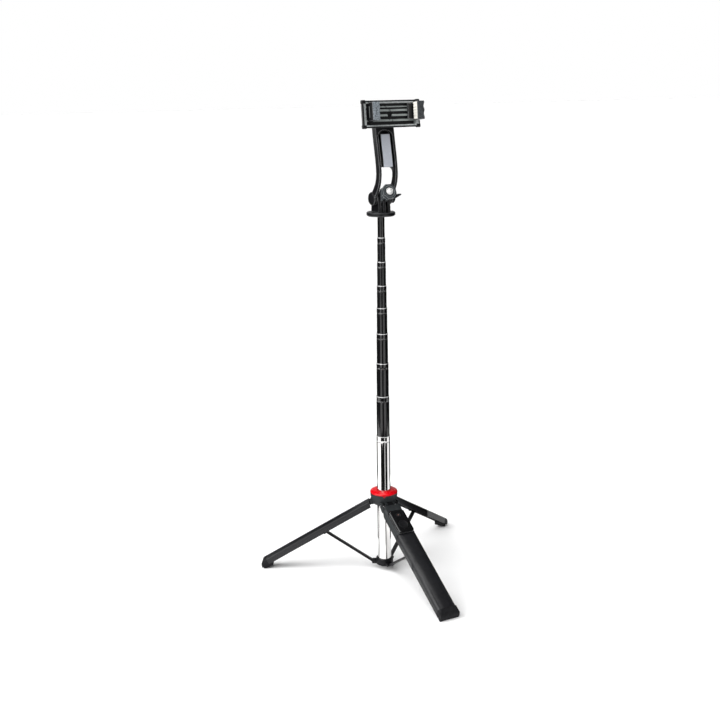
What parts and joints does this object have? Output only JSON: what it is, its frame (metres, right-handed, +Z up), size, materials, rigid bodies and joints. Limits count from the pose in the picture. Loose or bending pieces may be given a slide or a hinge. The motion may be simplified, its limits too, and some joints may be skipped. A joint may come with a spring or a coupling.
{
  "type": "selfie stick",
  "caption": "Telescoping selfie stick whose handle and two more legs fold out as a tripod, with a tilting phone clamp, camera screw and clip-on remote.",
  "frame": {"origin": "on the ground, on the pole's axis, with the tripod open", "axes": "+Z up along the pole; the handle leg and the clamp's open side face -Y; +X to the right seen from the front"},
  "size_m": [0.3636, 0.3148, 0.7553],
  "materials": {
    "hub_plastic": "dark grey-green moulded nylon, fine grain",
    "red_gloss": "gloss red moulding",
    "bush_plastic": "black acetal",
    "steel": "zinc-plated steel",
    "black_plastic": "black moulded plastic, satin",
    "leg_black": "black satin with soft sheen",
    "foot_rubber": "black rubber",
    "remote_gloss": "black case with a polished bevel",
    "button_black": "soft-touch black",
    "lamp": "clear lamp window",
    "board_green": "solder mask",
    "chrome_tube": "polished chrome plate",
    "black_tube": "gloss black lacquered steel tube with bare metal rings",
    "arm_black": "satin black",
    "trim_metal": "satin anodised aluminium",
    "frame_black": "satin black with worn light rims",
    "rail_grey": "grey moulded plastic",
    "pad_rubber": "cream ribbed rubber"
  },
  "bodies": {
    "pole_base": {"base_tube": "chrome_tube", "lower_hub": "black_plastic", "lower_hub_pins": "steel", "lower_hub_screw": "steel", "tube_plug": "bush_plastic"},
    "handle_brace": {"handle_brace": "black_plastic"},
    "handle_leg": {"handle_shell": "leg_black", "remote_cradle": "hub_plastic", "handle_cover": "black_plastic", "handle_knuckle": "black_plastic", "handle_foot": "foot_rubber", "handle_brace_pin": "steel"},
    "hub": {"hub_body": "hub_plastic", "hub_collar": "red_gloss", "hub_bush": "bush_plastic", "hub_pins": "steel"},
    "left_leg": {"leg_left_channel": "leg_black", "leg_left_knuckle": "black_plastic", "leg_left_foot": "foot_rubber", "leg_left_brace_pin": "steel"},
    "left_brace": {"leg_left_brace": "black_plastic"},
    "right_leg": {"leg_right_channel": "leg_black", "leg_right_knuckle": "black_plastic", "leg_right_foot": "foot_rubber", "leg_right_brace_pin": "steel"},
    "right_brace": {"leg_right_brace": "black_plastic"},
    "remote": {"remote_top": "remote_gloss", "remote_base": "remote_gloss", "status_lamp": "lamp", "remote_board": "board_green", "coin_cell": "steel", "battery_door": "black_plastic"},
    "shutter": {"shutter_button": "button_black"},
    "mode": {"mode_button": "button_black"},
    "head": {"head_base": "black_plastic", "head_grub_screw": "steel", "tilt_bolt": "steel", "tilt_cap": "black_plastic"},
    "camera_plate": {"camera_plate": "black_plastic", "camera_screw": "steel"},
    "tilt_lever": {"tilt_lever": "black_plastic"},
    "arm": {"fork_arm": "arm_black", "arm_plate": "trim_metal"},
    "clamp": {"clamp_frame": "frame_black", "clamp_back": "black_plastic", "swivel_screw": "steel", "guide_rails": "rail_grey", "jaw_springs": "steel", "jaw_left": "black_plastic", "jaw_pad_left": "pad_rubber"},
    "right_jaw": {"jaw_right": "black_plastic", "jaw_pad_right": "pad_rubber"},
    "section_1": {"section_1": "black_tube"},
    "section_2": {"section_2": "black_tube"},
    "section_3": {"section_3": "black_tube"},
    "section_4": {"section_4": "black_tube"},
    "section_5": {"section_5": "black_tube"},
    "section_6": {"section_6": "black_tube"},
    "section_7": {"section_7": "black_tube"},
    "section_8": {"section_8": "black_tube"}
  },
  "joints": [
    {"name": "leg_fold", "type": "hinge", "parent": "pole_base", "child": "handle_brace", "pos_m": [0, -0.0185, 0.012], "axis": [-1, 0, 0], "range_deg": [0, 59.2]},
    {"name": "handle_leg_turn", "type": "hinge", "parent": "handle_brace", "child": "handle_leg", "pos_m": [0, -0.09819, 0.06575], "axis": [1, 0, 0], "range_deg": [0, 118.4]},
    {"name": "hub_turn", "type": "hinge", "parent": "handle_leg", "child": "hub", "pos_m": [0, -0.0185, 0.1195], "axis": [-1, 0, 0], "range_deg": [0, 59.2]},
    {"name": "left_leg_turn", "type": "hinge", "parent": "hub", "child": "left_leg", "pos_m": [-0.01602, 0.00925, 0.1195], "axis": [-0.5, -0.866, 0], "range_deg": [0, 59.2]},
    {"name": "left_brace_turn", "type": "hinge", "parent": "left_leg", "child": "left_brace", "pos_m": [-0.08503, 0.04909, 0.06575], "axis": [0.5, 0.866, 0], "range_deg": [0, 118.4]},
    {"name": "right_leg_turn", "type": "hinge", "parent": "hub", "child": "right_leg", "pos_m": [0.01602, 0.00925, 0.1195], "axis": [-0.5, 0.866, 0], "range_deg": [0, 59.2]},
    {"name": "right_brace_turn", "type": "hinge", "parent": "right_leg", "child": "right_brace", "pos_m": [0.08503, 0.04909, 0.06575], "axis": [0.5, -0.866, 0], "range_deg": [0, 118.4]},
    {"name": "slide_1", "type": "slide", "parent": "pole_base", "child": "section_1", "axis": [0, 0, 1], "range_m": [-0.064, 0.0985]},
    {"name": "slide_2", "type": "slide", "parent": "section_1", "child": "section_2", "axis": [0, 0, 1], "range_m": [-0.0515, 0.111]},
    {"name": "slide_3", "type": "slide", "parent": "section_2", "child": "section_3", "axis": [0, 0, 1], "range_m": [-0.0455, 0.117]},
    {"name": "slide_4", "type": "slide", "parent": "section_3", "child": "section_4", "axis": [0, 0, 1], "range_m": [-0.0385, 0.124]},
    {"name": "slide_5", "type": "slide", "parent": "section_4", "child": "section_5", "axis": [0, 0, 1], "range_m": [-0.0325, 0.13]},
    {"name": "slide_6", "type": "slide", "parent": "section_5", "child": "section_6", "axis": [0, 0, 1], "range_m": [-0.0345, 0.128]},
    {"name": "slide_7", "type": "slide", "parent": "section_6", "child": "section_7", "axis": [0, 0, 1], "range_m": [-0.035, 0.1275]},
    {"name": "slide_8", "type": "slide", "parent": "section_7", "child": "section_8", "axis": [0, 0, 1], "range_m": [-0.0299, 0.1321]},
    {"name": "head_pan", "type": "hinge", "parent": "section_8", "child": "head", "pos_m": [0, 0, 0.59], "axis": [0, 0, 1], "continuous": true},
    {"name": "camera_tilt", "type": "hinge", "parent": "head", "child": "camera_plate", "pos_m": [0, 0, 0.61], "axis": [-1, 0, 0], "range_deg": [-20, 62]},
    {"name": "arm_tilt", "type": "hinge", "parent": "head", "child": "arm", "pos_m": [0, 0, 0.61], "axis": [1, 0, 0], "range_deg": [-90, 80]},
    {"name": "lever_turn", "type": "hinge", "parent": "head", "child": "tilt_lever", "pos_m": [0, 0, 0.61], "axis": [-1, 0, 0], "range_deg": [-30, 60]},
    {"name": "clamp_roll", "type": "hinge", "parent": "arm", "child": "clamp", "pos_m": [0, -0.029, 0.7343], "axis": [0, -0.9954, 0.0958], "range_deg": [-90, 90]},
    {"name": "jaw_slide", "type": "slide", "parent": "clamp", "child": "right_jaw", "axis": [1, 0, 0], "range_m": [0, 0.026], "stiffness_N_per_m": 150, "springref_m": -0.02},
    {"name": "remote_lift", "type": "slide", "parent": "handle_leg", "child": "remote", "axis": [0, -0.512, 0.859], "range_m": [0, 0.02]},
    {"name": "shutter_press", "type": "slide", "parent": "remote", "child": "shutter", "axis": [0, 0.512, -0.859], "range_m": [0, 0.0005], "stiffness_N_per_m": 900, "springref_m": -0.0005},
    {"name": "mode_press", "type": "slide", "parent": "remote", "child": "mode", "axis": [0, 0.512, -0.859], "range_m": [0, 0.0005], "stiffness_N_per_m": 900, "springref_m": -0.0005}
  ],
  "couplings": [
    {"joint": "handle_leg_turn", "follows": "leg_fold", "ratio": 2},
    {"joint": "hub_turn", "follows": "leg_fold", "ratio": 1},
    {"joint": "left_leg_turn", "follows": "leg_fold", "ratio": 1},
    {"joint": "left_brace_turn", "follows": "leg_fold", "ratio": 2},
    {"joint": "right_leg_turn", "follows": "leg_fold", "ratio": 1},
    {"joint": "right_brace_turn", "follows": "leg_fold", "ratio": 2}
  ]
}
